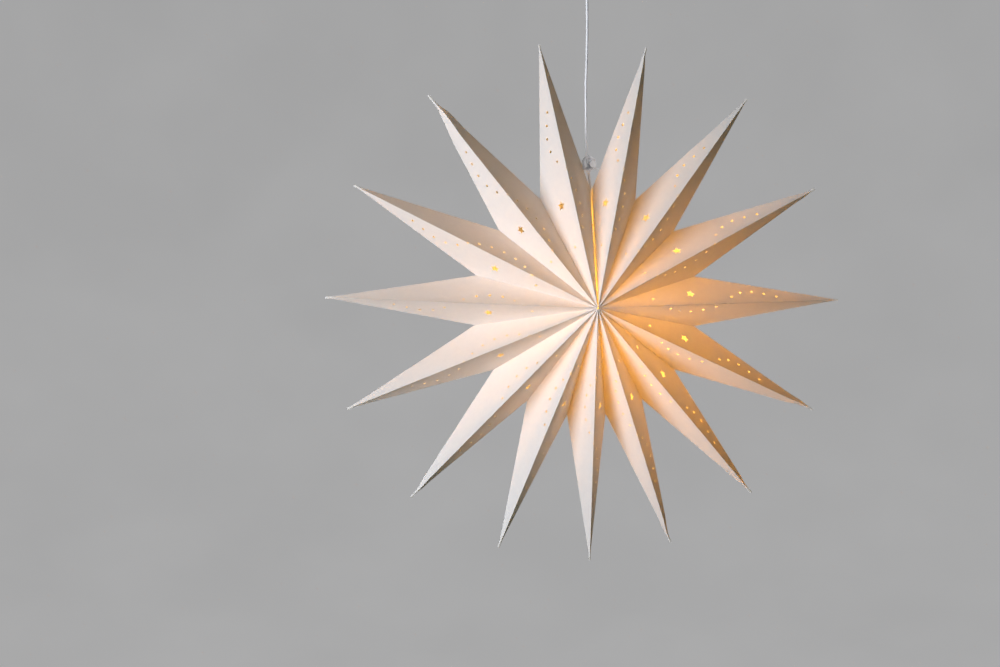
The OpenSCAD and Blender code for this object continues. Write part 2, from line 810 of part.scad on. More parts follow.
module ceiling_cup() {
    slot_z = -plate_t - 0.7;
    slot_h = lug_t + 0.7 + running_fit / 2;
    color("white") difference() {
        rotate_extrude() difference() {
            intersection() {
                cup_section(0);
                translate([0, -cup_h]) square([cup_r, cup_h]);
            }
            cup_section(cup_wall);
        }
        translate([0, 0, -cup_h - 1]) cylinder(r = outlet_r, h = cup_wall + 2);
        for (i = [0:2]) rotate(i * 120 - lug_angle / 2 - slot_clear - bayonet_turn) {
            translate([0, 0, slot_z]) rotate_extrude(angle = bayonet_turn + lug_angle + 2 * slot_clear)
                translate([plate_r, 0]) square([cup_r - plate_r + 1, slot_h]);
            translate([0, 0, slot_z]) rotate_extrude(angle = lug_angle + 2 * slot_clear)
                translate([plate_r, 0]) square([cup_r - plate_r + 1, plate_t + 2]);
        }
    }
}

for (k = [1:points]) paper_point(k);
tie(-1);  // tie_front
tie(1);  // tie_back
hanger_bar();
cord_clip();
grip_cam();
pendant_lead();
lamp_lead();
cord_grip();
holder_cap();
holder_barrel();
holder_core();
centre_contact();
side_contact();
bulb_glass();
bulb_stem();
filament();
screw_shell();
base_insulator();
tip_contact();
ceiling_plate();
ceiling_hook();
hook_ring();
lead_hanger();
terminal_block();
terminal_screws();
inner_wires();
ceiling_cup();
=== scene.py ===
"""Looks of the paper star lantern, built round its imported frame. Lengths are in metres."""

import itertools
import json
import math
import random

import bpy
import numpy as np
from mathutils import Matrix, Vector, noise
from mathutils.geometry import delaunay_2d_cdt


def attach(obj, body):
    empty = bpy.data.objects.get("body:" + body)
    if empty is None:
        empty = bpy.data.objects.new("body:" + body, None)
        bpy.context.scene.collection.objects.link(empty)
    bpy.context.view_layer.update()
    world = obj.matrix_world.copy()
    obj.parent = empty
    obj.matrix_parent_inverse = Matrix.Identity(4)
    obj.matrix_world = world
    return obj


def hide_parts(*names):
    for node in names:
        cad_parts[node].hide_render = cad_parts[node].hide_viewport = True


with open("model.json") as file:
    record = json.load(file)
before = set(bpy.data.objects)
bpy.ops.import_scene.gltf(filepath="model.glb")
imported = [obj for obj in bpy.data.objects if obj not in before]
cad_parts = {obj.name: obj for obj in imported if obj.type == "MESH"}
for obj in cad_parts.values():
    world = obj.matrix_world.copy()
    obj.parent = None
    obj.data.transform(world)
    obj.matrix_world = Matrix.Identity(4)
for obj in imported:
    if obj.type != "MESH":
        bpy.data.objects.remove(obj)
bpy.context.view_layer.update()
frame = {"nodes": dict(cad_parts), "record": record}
scene = bpy.context.scene

# ---------------------------------------------------------------- sizes, as in the part's source
POINTS = 15
STAR_R = 0.300          # radius of the tips
VALLEY_R = 0.131
DEPTH = 0.0755          # from the middle plane to the front apex, and to the back one
CENTRE = Vector((0.0, 0.0, -0.425))
SEAM_DROP = 0.003       # how much lower the open valley at the top lies
SEAM_HALF = 0.0010      # half the gap of the open seam
DOT_R = 0.00155         # radius of the punched holes
POINT_LEAN = [-0.5, 0, 0, 0, 0.5, 0.5, 0.5, -1, -0.5, 0.5, 1, 0.5, -0.5, -1, 0.5]

# ---------------------------------------------------------------- sizes that are finer here
APEX_HOLE_R = 0.0012
FLAP = 0.0036           # width of the glue flaps, narrow enough to let the glow reach the valleys
SEAM_FLAP = 0.0035
SHEET = 0.00036
TAB_HALF = 0.0013       # half width and half depth of a point's pressed end
TAB_DEEP = 0.0005
END_CUT = 0.0004        # how much of the sharp tip is cut off
# length of each point's pressed end, and how far its neck is bent aside, both in millimetres
PINCH_MM = [10, 12, 14, 10, 16, 22, 16, 6, 12, 14, 12, 10, 14, 28, 9]
SWAY_MM = [-0.5, 0, 0.6, 0, -0.8, 0, 0.8, 0, 0, -0.6, 0, 0, 0, 1.6, 0]

# ---------------------------------------------------------------- camera
YAW, PITCH = math.radians(9.15), math.radians(5.56)
RIGHT = Vector((math.cos(YAW), -math.sin(YAW), 0.0))
AHEAD = Vector((
    math.sin(YAW) * math.cos(PITCH), math.cos(YAW) * math.cos(PITCH), -math.sin(PITCH)
))
UP = RIGHT.cross(AHEAD)
SENSOR_MM, LENS_MM = 36.0, 103.43
# the camera's place from the star's centre, in star radii
TO_RIGHT, BACK_OFF, TO_TOP = -0.3274, 11.0, -0.1185


def make_camera():
    data = bpy.data.cameras.new("camera")
    data.sensor_width, data.lens = SENSOR_MM, LENS_MM
    data.clip_start, data.clip_end = 0.05, 50.0
    cam = bpy.data.objects.new("camera", data)
    scene.collection.objects.link(cam)
    cam.location = CENTRE + STAR_R * (TO_RIGHT * RIGHT - BACK_OFF * AHEAD + TO_TOP * UP)
    cam.rotation_mode = "QUATERNION"
    cam.rotation_quaternion = Matrix((RIGHT, UP, -AHEAD)).transposed().to_quaternion()
    scene.camera = cam


make_camera()

# ---------------------------------------------------------------- material helpers


class Nodes:
    """A node tree, with short ways to add and join nodes."""

    def __init__(self, tree):
        self.tree = tree

    def add(self, kind, inputs=None, **settings):
        node = self.tree.nodes.new(kind)
        for name, value in settings.items():
            setattr(node, name, value)
        for name, value in (inputs or {}).items():
            if isinstance(value, bpy.types.NodeSocket):
                self.tree.links.new(value, node.inputs[name])
            else:
                node.inputs[name].default_value = value
        return node

    def coords(self):
        return self.add("ShaderNodeTexCoord").outputs["Object"]

    def noise(self, scale, detail=3.0, rough=0.5, at=None, stretch=None):
        at = at or self.coords()
        if stretch:
            at = self.add("ShaderNodeMapping", {"Vector": at, "Scale": stretch}).outputs[0]
        inputs = {"Vector": at, "Scale": scale, "Detail": detail, "Roughness": rough}
        return self.add("ShaderNodeTexNoise", inputs).outputs["Fac"]

    def ramp(self, fac, low, high, start=0.3, end=0.7):
        node = self.add("ShaderNodeValToRGB", {"Fac": fac})
        first, last = node.color_ramp.elements
        first.position, first.color = start, (*low, 1)
        last.position, last.color = end, (*high, 1)
        return node.outputs["Color"]

    def range(self, fac, low, high, start=0.3, end=0.7):
        inputs = {"Value": fac, "From Min": start, "From Max": end, "To Min": low, "To Max": high}
        return self.add("ShaderNodeMapRange", inputs).outputs["Result"]

    def bump(self, height, distance, strength=1.0, normal=None):
        inputs = {"Height": height, "Distance": distance, "Strength": strength}
        if normal:
            inputs["Normal"] = normal
        return self.add("ShaderNodeBump", inputs).outputs["Normal"]

    def math(self, operation, a, b):
        return self.add("ShaderNodeMath", {0: a, 1: b}, operation=operation).outputs[0]

    def background_rays(self):
        """1 for the rays that show the background: in the camera, in gloss, through glass."""
        path = self.add("ShaderNodeLightPath")
        seen = self.math("MAXIMUM", path.outputs["Is Camera Ray"], path.outputs["Is Glossy Ray"])
        return self.math("MAXIMUM", seen, path.outputs["Is Transmission Ray"])


class Material(Nodes):
    """A new material, made of nodes up to its one shader."""

    def __init__(self, name):
        self.material = bpy.data.materials.new(name)
        self.material.use_nodes = True
        super().__init__(self.material.node_tree)
        self.tree.nodes.clear()
        self.out = self.add("ShaderNodeOutputMaterial")

    def principled(self, **inputs):
        named = {
            key.replace("_", " ").title().replace("Ior", "IOR"): value
            for key, value in inputs.items()
        }
        return self.add("ShaderNodeBsdfPrincipled", named).outputs[0]

    def finish(self, shader):
        self.tree.links.new(shader, self.out.inputs["Surface"])
        return self.material


# ---------------------------------------------------------------- materials


def moulded(name, low, high, rough=(0.3, 0.45), bump=0.00003, scale=220.0):
    """Moulded plastic or glazed ware: faint mottling, uneven gloss, a fine orange-peel skin."""
    n = Material(name)
    cloud = n.noise(scale * 0.25, 4.0)
    skin = n.noise(scale * 6.0, 2.0)
    colour = n.ramp(cloud, low, high)
    gloss = n.range(n.noise(scale * 0.6, 5.0, 0.6), *rough)
    normal = n.bump(skin, bump, 0.6)
    return n.finish(n.principled(base_color=colour, roughness=gloss, normal=normal))


def metal(name, low, high, rough=(0.2, 0.4), scale=300.0, stretch=(1, 1, 1), bump=0.00002):
    """Bare metal: clouded colour and a fine grain that shows in its gloss."""
    n = Material(name)
    grain = n.noise(scale, 6.0, 0.65, stretch=stretch)
    colour = n.ramp(n.noise(scale * 0.3, 4.0), low, high)
    gloss = n.range(grain, *rough)
    normal = n.bump(grain, bump, 0.7)
    return n.finish(n.principled(
        base_color=colour, roughness=gloss, normal=normal, metallic=1.0
    ))


def paper_material():
    """Matt white sheet that lets light through, with fine fibres and a faint cloudiness."""
    n = Material("paper")
    fibre = n.noise(2600.0, 6.0, 0.7)
    cloud = n.noise(180.0, 5.0, 0.6)
    colour = n.ramp(cloud, (0.85, 0.845, 0.86), (0.88, 0.875, 0.89), 0.25, 0.75)
    through = n.ramp(cloud, (0.95, 0.88, 0.6), (0.99, 0.92, 0.64), 0.25, 0.75)
    normal = n.bump(fibre, 0.00004, 0.5, n.bump(cloud, 0.0001, 0.35))
    front = n.principled(
        base_color=colour, roughness=0.92, specular_ior_level=0.18, normal=normal
    )
    back = n.add("ShaderNodeBsdfTranslucent", {"Color": through, "Normal": normal}).outputs[0]
    share = n.range(cloud, 0.255, 0.285, 0.25, 0.75)
    return n.finish(n.add("ShaderNodeMixShader", {"Fac": share, 1: front, 2: back}).outputs[0])


def string_material():
    """Off-white string with a twist."""
    n = Material("tie_cord")
    wave = {"Vector": n.coords(), "Scale": 900.0, "Distortion": 1.5}
    twist = n.add("ShaderNodeTexWave", wave).outputs["Fac"]
    colour = n.ramp(twist, (0.62, 0.6, 0.55), (0.86, 0.85, 0.81))
    normal = n.bump(twist, 0.0001, 0.8)
    return n.finish(n.principled(base_color=colour, roughness=0.9, normal=normal))


def lead_material():
    """The lead's soft white sheath."""
    n = Material("lead_sheath")
    cloud = n.noise(90.0, 4.0)
    fine = n.noise(1500.0, 3.0)
    colour = n.ramp(cloud, (0.86, 0.87, 0.88), (0.92, 0.93, 0.94))
    gloss = n.range(fine, 0.38, 0.52)
    normal = n.bump(fine, 0.00002, 0.5)
    return n.finish(n.principled(base_color=colour, roughness=gloss, normal=normal))


def milky_material():
    """Milky moulded plastic that lets a little light through."""
    n = Material("clip_plastic")
    cloud = n.noise(400.0, 4.0)
    colour = n.ramp(cloud, (0.92, 0.92, 0.93), (0.96, 0.96, 0.97))
    gloss = n.range(n.noise(900.0, 3.0), 0.18, 0.32)
    normal = n.bump(n.noise(1400.0, 2.0), 0.00002, 0.5)
    return n.finish(n.principled(
        base_color=colour, roughness=gloss, transmission_weight=0.06, ior=1.49, normal=normal
    ))


def glass_material(name, tint, rough=0.02):
    """Blown glass with faint flow lines."""
    n = Material(name)
    flow = n.noise(120.0, 3.0)
    colour = n.ramp(flow, tuple(0.97 * c for c in tint), tint)
    normal = n.bump(flow, 0.00005, 0.4)
    return n.finish(n.principled(
        base_color=colour, roughness=rough, transmission_weight=1.0, ior=1.46, normal=normal
    ))


def filament_material():
    """Glowing warm filament."""
    n = Material("filament")
    grain = n.noise(2000.0, 4.0)
    colour = n.ramp(grain, (1.0, 0.55, 0.16), (1.0, 0.72, 0.32))
    return n.finish(n.principled(
        base_color=colour, roughness=0.6, emission_color=colour, emission_strength=14.0
    ))


MATERIALS = {
    "paper": paper_material(),
    "tie_cord": string_material(),
    "clip_plastic": milky_material(),
    "cam_plastic": moulded("cam_plastic", (0.88, 0.87, 0.85), (0.94, 0.93, 0.91), (0.22, 0.34)),
    "lead_sheath": lead_material(),
    "lamp_plastic": moulded("lamp_plastic", (0.84, 0.83, 0.81), (0.9, 0.89, 0.87), (0.25, 0.38)),
    "ceramic": moulded(
        "ceramic", (0.78, 0.76, 0.71), (0.86, 0.84, 0.79), (0.55, 0.75), 0.00008
    ),
    "brass": metal("brass", (0.72, 0.52, 0.22), (0.83, 0.64, 0.33), (0.22, 0.4)),
    "bulb_glass": glass_material("bulb_glass", (1.0, 0.93, 0.8)),
    "stem_glass": glass_material("stem_glass", (0.96, 0.97, 0.96), 0.05),
    "filament": filament_material(),
    "shell_metal": metal("shell_metal", (0.68, 0.68, 0.68), (0.8, 0.8, 0.8), (0.2, 0.38)),
    "insulator": moulded("insulator", (0.015, 0.015, 0.018), (0.04, 0.04, 0.045), (0.1, 0.22)),
    "solder": metal("solder", (0.45, 0.45, 0.45), (0.62, 0.62, 0.6), (0.35, 0.6), 500.0),
    "fitting_plastic": moulded(
        "fitting_plastic", (0.82, 0.82, 0.8), (0.88, 0.88, 0.86), (0.36, 0.5)
    ),
    "steel": metal("steel", (0.5, 0.51, 0.53), (0.66, 0.67, 0.69), (0.25, 0.45)),
    "terminal_plastic": moulded(
        "terminal_plastic", (0.72, 0.7, 0.64), (0.8, 0.78, 0.72), (0.4, 0.55)
    ),
    "wire_sleeve": moulded("wire_sleeve", (0.17, 0.08, 0.035), (0.24, 0.12, 0.055), (0.35, 0.5)),
}

for part in frame["record"]["subparts"]:
    shown = frame["nodes"].get(part["node"])
    if shown:
        shown.data.materials.clear()
        shown.data.materials.append(MATERIALS[part["material_slot"]])


def stand_in(name, data, slot, body, node):
    """A redrawn piece that rides on a body in the place of a CAD node."""
    data.materials.append(MATERIALS[slot])
    piece = bpy.data.objects.new(name, data)
    scene.collection.objects.link(piece)
    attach(piece, body)
    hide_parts(node)
    return piece


# ---------------------------------------------------------------- cords
LEAD_D = 0.0028
LEAD_Y = 0.00145        # how far behind the middle plane the lead passes through the clip
LEAD_POINTS = [
    (0, 0, -0.039), (0, 0, -0.050), (0.0001, 0, -0.062), (0.0006, 0, -0.080),
    (0.0009, 0, -0.100), (0.0009, 0, -0.125), (0.0004, 0, -0.150), (-0.0004, 0, -0.175),
    (-0.0002, 0, -0.200), (0.0001, 0.0006, -0.228), (0.0006, LEAD_Y, -0.246),
    (0.0014, LEAD_Y, -0.257), (0.0031, LEAD_Y, -0.273), (0.0044, 0.0006, -0.285),
    (0.0061, 0, -0.297), (0.0063, 0, -0.305), (0.0057, 0, -0.313),
]
LAMP_LEAD_POINTS = [
    (0.0057, 0, -0.3134), (0.0054, 0, -0.320), (0.0052, 0, -0.328), (0.005, 0, -0.336),
    (0.005, 0, -0.345), (0.005, 0, -0.356), (0.005, 0, -0.364),
]
LEAD_STEPS = 5          # straight steps between two points of a lead


def smooth_line(points, steps):
    """Catmull-Rom curve through the points."""
    points = [Vector(p) for p in points]
    last = len(points) - 1
    line = []
    for i in range(last):
        a, b, c, d = points[max(i - 1, 0)], points[i], points[i + 1], points[min(i + 2, last)]
        for j in range(steps):
            u = j / steps
            line.append((2 * b + (c - a) * u + (2 * a - 5 * b + 4 * c - d) * u * u
                         + (3 * b - a - 3 * c + d) * u ** 3) / 2)
    return line + [points[-1]]


def make_cord(name, points, body, node):
    line = smooth_line(points, LEAD_STEPS)
    data = bpy.data.curves.new(name, "CURVE")
    data.dimensions = "3D"
    data.bevel_depth = LEAD_D / 2
    data.bevel_resolution = 5
    data.use_fill_caps = True
    spline = data.splines.new("POLY")
    spline.points.add(len(line) - 1)
    for at, point in zip(line, spline.points):
        point.co = (*at, 1.0)
    spline.use_smooth = True
    piece = stand_in(name, data, "lead_sheath", body, node)


make_cord("pendant_lead_sheath", LEAD_POINTS, "star", "pendant_lead")
make_cord("lamp_lead_sheath", LAMP_LEAD_POINTS, "lamp", "lamp_lead")

# ---------------------------------------------------------------- the star's rays and rims


def ray(degrees):
    """Direction in the star's middle plane, clockwise from the top, seen from the front."""
    a = math.radians(degrees)
    return np.array([math.sin(a), 0.0, math.cos(a)])


# degrees, as in the part's source: how hanging opens the ring at its sides, bunches the lowest
# points together and lowers one side, how far the ring has turned, and how far its seam leans
SAG_WIDE, SAG_LOW, SAG_SIDE, RING_TURN = 5.8, 1.8, 0.8, 0.7
SEAM_LEAN = 1.3


def sagged(a):
    """A point's angle, in degrees, once its weight has opened the ring at the top."""
    r = math.radians(a)
    opened = a + SAG_WIDE * math.sin(r) - SAG_LOW * math.sin(2 * r)
    return opened + SAG_SIDE * math.cos(r) + RING_TURN


def tip_angle(k):
    if k < 1:
        return tip_angle(k + POINTS) - 360
    if k > POINTS:
        return tip_angle(k - POINTS) + 360
    return sagged(360 / POINTS * (k - 0.5)) + POINT_LEAN[k - 1]


def is_seam(valley):
    return valley in (1, POINTS + 1)


def valley_angle(valley):
    middle = (tip_angle(valley - 1) + tip_angle(valley)) / 2
    return middle + (SEAM_LEAN if is_seam(valley) else 0)


def rim_r(valley):
    return VALLEY_R - (SEAM_DROP if is_seam(valley) else 0)


# ---------------------------------------------------------------- the line of holes
HOLE_COUNT = 13
HOLE_GAP = 0.0152
# places in a sheet's own plane: distance from the apex along the ridge, and across it
FIRST_HOLE, FIRST_HEADING = (0.0748, -0.014), math.radians(64)
FIRST_BEND_R, FIRST_BEND_L = 0.0542, 0.1106
SECOND_BEND_R, SECOND_BEND_L = 0.0391, 0.050
STAR_CUT_AT, STAR_CUT_TURN = (0.125, 0.021), math.radians(5)
STAR_CUT_R, STAR_CUT_NOTCH_R = 0.0059, 0.0027
STAR_CUT_ARMS = 5
STAR_CUT_ROOM = 0.0062  # radius round the cut that the sheet's inner points leave free
ON_RIDGE = 1.5 * DOT_R  # a hole nearer to the ridge than this is moved onto it


def bend(start, heading, radius, way, s):
    """The place reached after a length s of a circular bend to the left (way 1) or right (-1)."""
    after = heading + way * s / radius
    return (start[0] + way * radius * (math.sin(after) - math.sin(heading)),
            start[1] + way * radius * (math.cos(heading) - math.cos(after)))


def hole_places():
    """Places of the round holes, along a bend to the right, one to the left and a straight."""
    middle = bend(FIRST_HOLE, FIRST_HEADING, FIRST_BEND_R, -1, FIRST_BEND_L)
    mid_heading = FIRST_HEADING - FIRST_BEND_L / FIRST_BEND_R
    end = bend(middle, mid_heading, SECOND_BEND_R, 1, SECOND_BEND_L)
    end_heading = mid_heading + SECOND_BEND_L / SECOND_BEND_R
    places = []
    for i in range(HOLE_COUNT):
        s = HOLE_GAP * i
        if s <= FIRST_BEND_L:
            places.append(bend(FIRST_HOLE, FIRST_HEADING, FIRST_BEND_R, -1, s))
        elif s <= FIRST_BEND_L + SECOND_BEND_L:
            places.append(bend(middle, mid_heading, SECOND_BEND_R, 1, s - FIRST_BEND_L))
        else:
            over = s - FIRST_BEND_L - SECOND_BEND_L
            places.append((end[0] + over * math.cos(end_heading),
                           end[1] + over * math.sin(end_heading)))
    return places


HOLES = hole_places()


def on_ridge(at):
    return abs(at[1]) < ON_RIDGE


# ---------------------------------------------------------------- plane geometry helpers


def spaced(a, b, gap):
    """Points from a to b, b left out, about gap apart."""
    a, b = np.array(a, float), np.array(b, float)
    count = max(1, round(np.linalg.norm(b - a) / gap))
    return [a + (b - a) * i / count for i in range(count)]


def circle(centre, radius, sides):
    return [centre + radius * np.array([math.cos(t), math.sin(t)])
            for t in np.linspace(0, 2 * math.pi, sides + 1)[:-1]]


def inside(loop, points):
    """For each of the points, whether it is inside the closed loop."""
    loop, points = np.array(loop, float), np.array(points, float).reshape(-1, 2)
    a, b = loop, np.roll(loop, -1, axis=0)
    x, y = points[:, :1], points[:, 1:]
    across = (a[:, 1] > y) != (b[:, 1] > y)
    rise = np.where(b[:, 1] == a[:, 1], 1.0, b[:, 1] - a[:, 1])
    left = x < (b[:, 0] - a[:, 0]) * (y - a[:, 1]) / rise + a[:, 0]
    return (across & left).sum(axis=1) % 2 == 1


def clear_of(loop, points):
    """Each point's distance from the closed loop."""
    a = np.array(loop, float)
    ab = np.roll(a, -1, axis=0) - a
    over = points[:, None, :] - a
    u = np.clip((over * ab).sum(axis=2) / np.maximum(1e-12, (ab * ab).sum(axis=1)), 0, 1)
    return np.linalg.norm(over - u[:, :, None] * ab, axis=2).min(axis=1)


# ---------------------------------------------------------------- one quarter of a point
GRID = 0.0075           # spacing of a sheet's points, and near the tip
FINE = 0.0025
FINE_L = 0.032          # length of the finely spaced end
ROW_GAP = 0.87          # between the lattice's rows, in grid steps
EDGE_CLEAR = 0.0026     # the lattice's distance from the outline and from the cuts
CUT_CLEAR = 0.0018
DOT_SIDES = 16
SEAM_START = 0.0003     # how far from the ridge the seam's edge starts at the apex
SEAM_SHORT = 0.0044     # how far before the rim it ends
SEAM_NOTCH = 0.0034     # how far along the side fold the notch for the lead reaches
BOW = (-0.0009, 0.0005)
WAVE, WAVES_PER_M = 0.0007, 22
WAVE_STARTS = (0, 50)   # the range in which each sheet's waves start
FOLD_EASE = 0.012       # how far from the folds the bow reaches its height
MM = 0.001
NECK_ENDS = 2.2         # where the bent neck of a point ends, in lengths of its pressed end
INSIDE_OUTLINE = 2      # the triangulation keeps all within the outline, the cuts among it
TOUCHING = 1e-7         # and takes points this near to each other as one


class Quarter:
    """The flat sheet of one quarter of a point, with s along its ridge and t across it."""

    def __init__(self, k, side, face):
        self.k, self.side, self.face = k, side, face
        self.valley = k if side < 0 else k + 1
        self.apex = np.array([0.0, face * DEPTH, 0.0])
        self.outward, self.tangent = ray(tip_angle(k)), side * ray(tip_angle(k) + 90)
        self.tip = STAR_R * self.outward
        self.rim = rim_r(self.valley) * ray(valley_angle(self.valley))
        self.length = float(np.linalg.norm(self.tip - self.apex))
        self.along = (self.tip - self.apex) / self.length
        self.over = self.rim - self.apex
        across = self.over - (self.over @ self.along) * self.along
        self.across = across / np.linalg.norm(across)
        normal = np.cross(self.along, self.across)
        self.turned = normal[1] * face < 0
        self.normal = -normal if self.turned else normal
        self.flat_rim = np.array([self.over @ self.along, self.over @ self.across])
        self.valley_way = self.flat_rim / np.linalg.norm(self.flat_rim)
        self.side_fold = np.array([self.length, 0.0]) - self.flat_rim
        self.side_way = self.side_fold / np.linalg.norm(self.side_fold)

    def corners(self):
        """Starts of the ridge and of the valley edge at the apex, and corners at the rim."""
        edge = self.valley_way
        if not is_seam(self.valley):
            start = np.array([APEX_HOLE_R / abs(self.along @ self.outward), 0.0])
            edge_start = edge * APEX_HOLE_R / (rim_r(self.valley) / np.linalg.norm(self.over))
            return start, edge_start, [self.flat_rim]
        plane = np.cross(ray(valley_angle(self.valley)), [0.0, 1.0, 0.0])
        lean = abs(plane @ self.normal)
        moved = np.array([edge[1], -edge[0]]) * (SEAM_HALF / math.sqrt(1 - lean * lean))
        edge_start = moved + edge * (SEAM_START - moved[1]) / edge[1]
        base = moved + edge * (np.linalg.norm(self.flat_rim) - SEAM_SHORT)
        notch = self.flat_rim + self.side_way * SEAM_NOTCH
        return np.array([edge_start[0], 0.0]), edge_start, [base, notch]

    def outline(self):
        """The outline, anticlockwise from the ridge, and where the valley edge lies in it."""
        start, edge_start, rim_corners = self.corners()
        ridge_end = np.array([self.length - END_CUT * self.length / STAR_R, 0.0])
        side_end = self.flat_rim + self.side_fold * (1 - END_CUT / float(self.side_fold[0]))
        neck = side_end - self.side_way * FINE_L
        line = ridge_line(start, ridge_end) + [ridge_end]
        line += spaced(side_end, neck, FINE) + spaced(neck, rim_corners[-1], GRID)
        line += rim_corners[:0:-1]
        valley_line = spaced(rim_corners[0], edge_start, GRID) + [edge_start]
        places = range(len(line), len(line) + len(valley_line))
        middle = (start + edge_start) / 2
        reach = (np.linalg.norm(start) + np.linalg.norm(edge_start)) / 2
        return line + valley_line + [middle * reach / np.linalg.norm(middle)], places

    def cuts(self):
        """Loops of the cuts inside the sheet, and a disc round each cut in it or at its ridge."""
        way = -self.face * self.side
        loops, discs = [], []
        for at in HOLES:
            if on_ridge(at):
                discs.append((np.array([at[0], 0.0]), DOT_R))
            elif way * at[1] > 0:
                centre = np.array([at[0], way * at[1]])
                loops.append(circle(centre, DOT_R, DOT_SIDES))
                discs.append((centre, DOT_R))
        if way < 0:
            centre = np.array(STAR_CUT_AT)
            loops.append(star_cut(centre))
            discs.append((centre, STAR_CUT_ROOM))
        return loops, discs

    def in_space(self, flat, rng):
        """The flat points in space: slightly bowed between the folds, and pressed at the tip."""
        bow = rng.uniform(*BOW)
        slope = abs(self.rim @ self.tangent) / (STAR_R - self.rim @ self.outward)
        pinch, sway = MM * PINCH_MM[self.k - 1], MM * SWAY_MM[self.k - 1]
        seed = rng.uniform(*WAVE_STARTS)
        edge, fold = self.valley_way, self.side_fold
        verts = []
        for s, t in flat:
            at = self.apex + s * self.along + t * self.across
            to_valley = abs(edge[0] * t - edge[1] * s)
            to_side = abs(fold[0] * (t - self.flat_rim[1]) - fold[1] * (s - self.flat_rim[0]))
            to_side /= np.linalg.norm(fold)
            mask = (t / FOLD_EASE) * (to_valley / FOLD_EASE) * (to_side / FOLD_EASE)
            mask = mask / (1 + mask) if mask > 0 else 0.0
            x, y, z = at * WAVES_PER_M
            at = at + self.normal * mask * (bow + WAVE * noise.noise(Vector((x + seed, y, z))))
            # towards the tip the point is pressed to a narrow band, which bends aside a little
            u = max(0.0, float((self.tip - at) @ self.outward))
            wide, tall = u * slope, u * DEPTH / STAR_R
            share = min(1.0, max(0.0, float(at @ self.tangent) / max(1e-6, wide)))
            pressed = 1 - min(1.0, u / pinch) ** 2
            at = at + self.tangent * share * pressed * (TAB_HALF - wide)
            at[1] += self.face * (1 - share) * pressed * (TAB_DEEP - tall)
            swing = math.sin(math.pi * min(1.0, u / (NECK_ENDS * pinch))) ** 2
            verts.append(at + self.side * self.tangent * sway * swing)
        return verts

    def sheet(self, rng):
        """Vertices and triangles in space, and the vertices along the valley edge."""
        outline, valley_places = self.outline()
        cut_loops, discs = self.cuts()
        points, edges = [], []
        for loop in [outline] + cut_loops:
            first = len(points)
            points += loop
            edges += [(first + i, first + (i + 1) % len(loop)) for i in range(len(loop))]
        points += lattice(outline, discs)
        flat, _, tris, origins, *_ = delaunay_2d_cdt(
            [Vector(p) for p in points], edges, [], INSIDE_OUTLINE, TOUCHING
        )
        flat = np.array([tuple(p) for p in flat])
        middles = np.array([flat[list(t)].mean(axis=0) for t in tris])
        cut_out = np.zeros(len(tris), bool)
        for loop in cut_loops:
            cut_out |= inside(loop, middles)
        faces = [tuple(reversed(t)) if self.turned else tuple(t)
                 for t, gone in zip(tris, cut_out) if not gone]
        found = {origin: i for i, group in enumerate(origins) for origin in group}
        return self.in_space(flat, rng), faces, [found[i] for i in valley_places]


def ridge_line(start, end):
    """The ridge up to its end, left out, with half-round bites for the holes on it."""
    line = []
    for s in sorted(at[0] for at in HOLES if on_ridge(at)):
        near, far = np.array([s - DOT_R, 0.0]), np.array([s + DOT_R, 0.0])
        line += spaced(start, near, GRID)
        line += [(near + far) / 2 + DOT_R * np.array([-math.cos(t), math.sin(t)])
                 for t in np.linspace(0, math.pi, DOT_SIDES // 2 + 1)[:-1]]
        start = far
    neck = end - np.array([FINE_L, 0.0])
    return line + spaced(start, neck, GRID) + spaced(neck, end, FINE)


def star_cut(centre):
    """The loop of the small five-armed cut."""
    loop = []
    for i in range(2 * STAR_CUT_ARMS):
        a = math.radians(180 / STAR_CUT_ARMS * i) + STAR_CUT_TURN
        radius = STAR_CUT_NOTCH_R if i % 2 else STAR_CUT_R
        loop.append(centre + radius * np.array([math.cos(a), -math.sin(a)]))
    return loop


def lattice(outline, discs):
    """Staggered rows of points inside the outline and clear of it and of the discs."""
    low, high = np.min(outline, axis=0), np.max(outline, axis=0)
    points = []
    for row, y in enumerate(np.arange(low[1] + GRID / 2, high[1], GRID * ROW_GAP)):
        first_x = low[0] + (GRID / 2 if row % 2 else 0)
        points += [(x, y) for x in np.arange(first_x, high[0], GRID)]
    points = np.array(points)
    good = inside(outline, points) & (clear_of(outline, points) > EDGE_CLEAR)
    for centre, radius in discs:
        good &= np.linalg.norm(points - centre, axis=1) > radius + CUT_CLEAR
    return list(points[good])


# ---------------------------------------------------------------- flaps and whole points
FLAP_START_R = 0.003    # how far from the star's axis the flaps start
SEAM_FLAP_STOP = 0.0022  # how far from the middle plane the seam's flaps stop


def flap(quarter, line_at):
    """The inner edge of the glue flap in a valley, one place for each on the valley edge."""
    seam, face = is_seam(quarter.valley), quarter.face
    outward = ray(valley_angle(quarter.valley))
    r = rim_r(quarter.valley)
    edge = math.hypot(r, DEPTH)
    width = SEAM_FLAP if seam else FLAP
    low = DEPTH - width * edge / r
    reach = r - width * edge / DEPTH
    stop = SEAM_FLAP_STOP if seam else 0.0
    start = np.array([FLAP_START_R, face * low * (1 - FLAP_START_R / reach)])
    end = np.array([reach * (1 - stop / low), face * stop])
    top, bottom = abs(line_at[-1][1]), abs(line_at[0][1])
    places = []
    for p in line_at:
        share = (top - abs(p[1])) / (top - bottom)
        q = start + (end - start) * share
        base = p - outward * (p @ outward) - np.array([0.0, p[1], 0.0])
        places.append(base + outward * q[0] + np.array([0.0, q[1], 0.0]))
    return places


SAME_PLACE = 2e-5       # vertices in neighbouring cells of this size join


